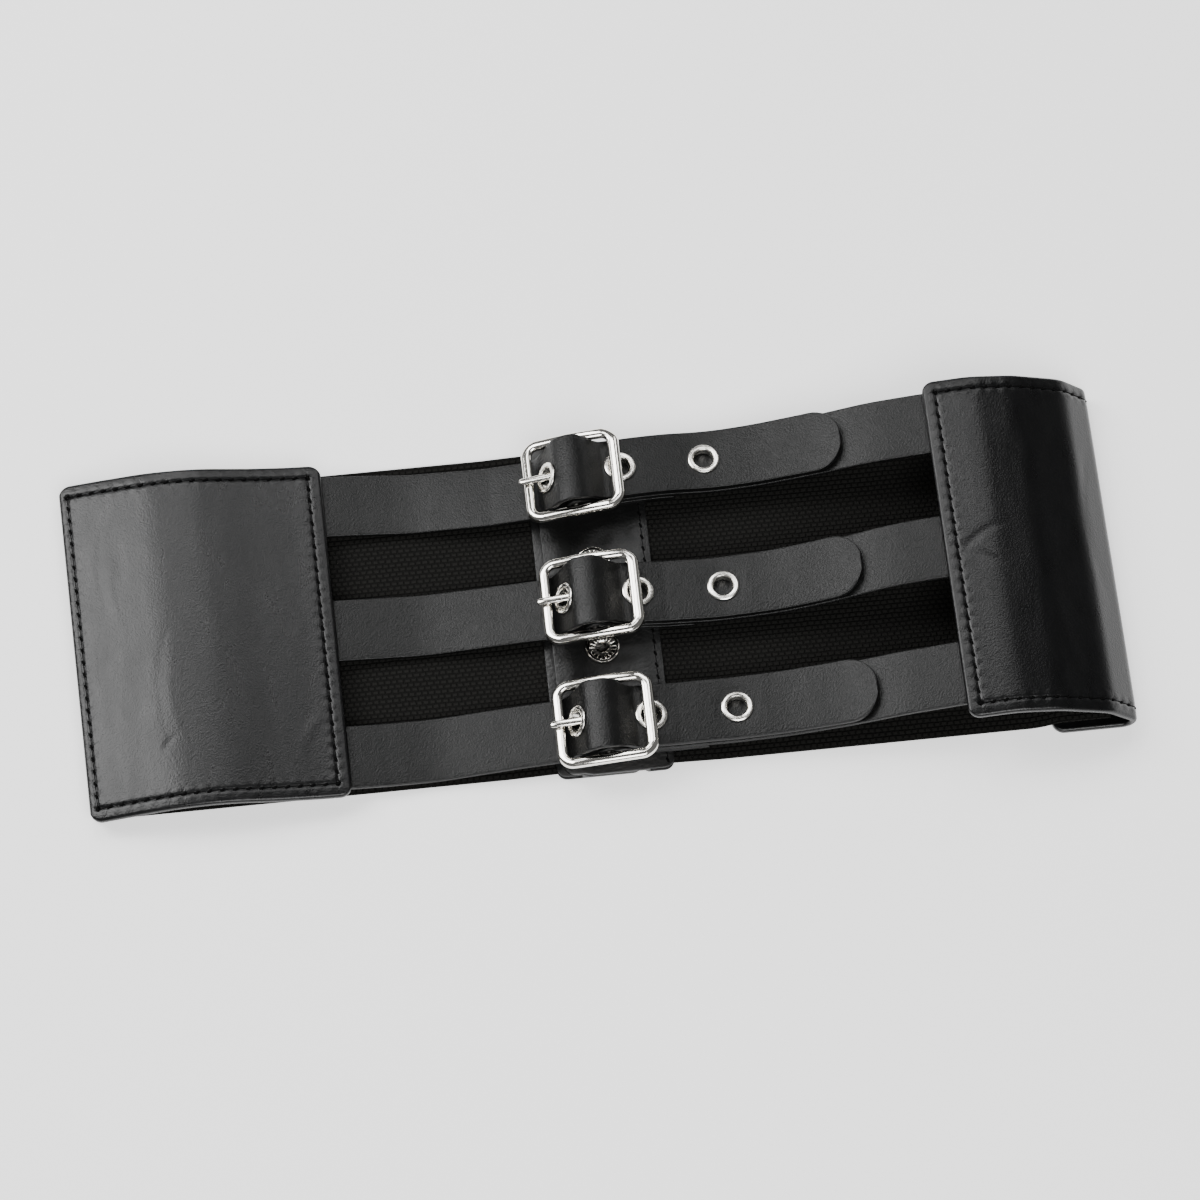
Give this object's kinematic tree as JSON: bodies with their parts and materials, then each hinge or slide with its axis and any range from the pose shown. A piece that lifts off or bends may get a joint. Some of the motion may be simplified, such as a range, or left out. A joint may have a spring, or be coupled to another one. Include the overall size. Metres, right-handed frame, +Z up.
{
  "type": "wide elastic waist belt",
  "caption": "Wide black waist belt lying closed on its back: imitation leather panels at the folds, buckled straps in front, woven elastic with a press-stud closure behind",
  "frame": {"origin": "Centre of the bounding box's base, on the surface that the belt lies on", "axes": "+X runs along the belt from the hole straps' panel to the buckle straps' panel, +Y runs across its width towards its upper edge, and +Z points up, out of its front"},
  "size_m": [0.3038, 0.105, 0.0232],
  "materials": {
    "panel_leather": "smooth black imitation leather with a satin sheen",
    "strap_leather": "finely grained matte black imitation leather",
    "tab_leather": "smooth black imitation leather",
    "elastic": "coarsely woven black elastic",
    "nickel": "bright polished nickel plate"
  },
  "bodies": {
    "root": {"left_panel": "panel_leather", "right_panel": "panel_leather", "hole_strap_upper": "strap_leather", "hole_strap_middle": "strap_leather", "hole_strap_lower": "strap_leather", "buckle_strap_upper": "strap_leather", "buckle_strap_middle": "strap_leather", "buckle_strap_lower": "strap_leather", "buckle_frame_upper": "nickel", "buckle_frame_middle": "nickel", "buckle_frame_lower": "nickel", "buckle_prong_upper": "nickel", "buckle_prong_middle": "nickel", "buckle_prong_lower": "nickel", "eyelet_upper_1": "nickel", "eyelet_upper_2": "nickel", "eyelet_upper_3": "nickel", "eyelet_middle_1": "nickel", "eyelet_middle_2": "nickel", "eyelet_middle_3": "nickel", "eyelet_lower_1": "nickel", "eyelet_lower_2": "nickel", "eyelet_lower_3": "nickel", "elastic_left": "elastic", "elastic_right": "elastic", "closure_tab_outer": "tab_leather", "closure_tab_inner": "tab_leather", "press_stud_upper": "nickel", "press_stud_lower": "nickel"}
  },
  "joints": []
}
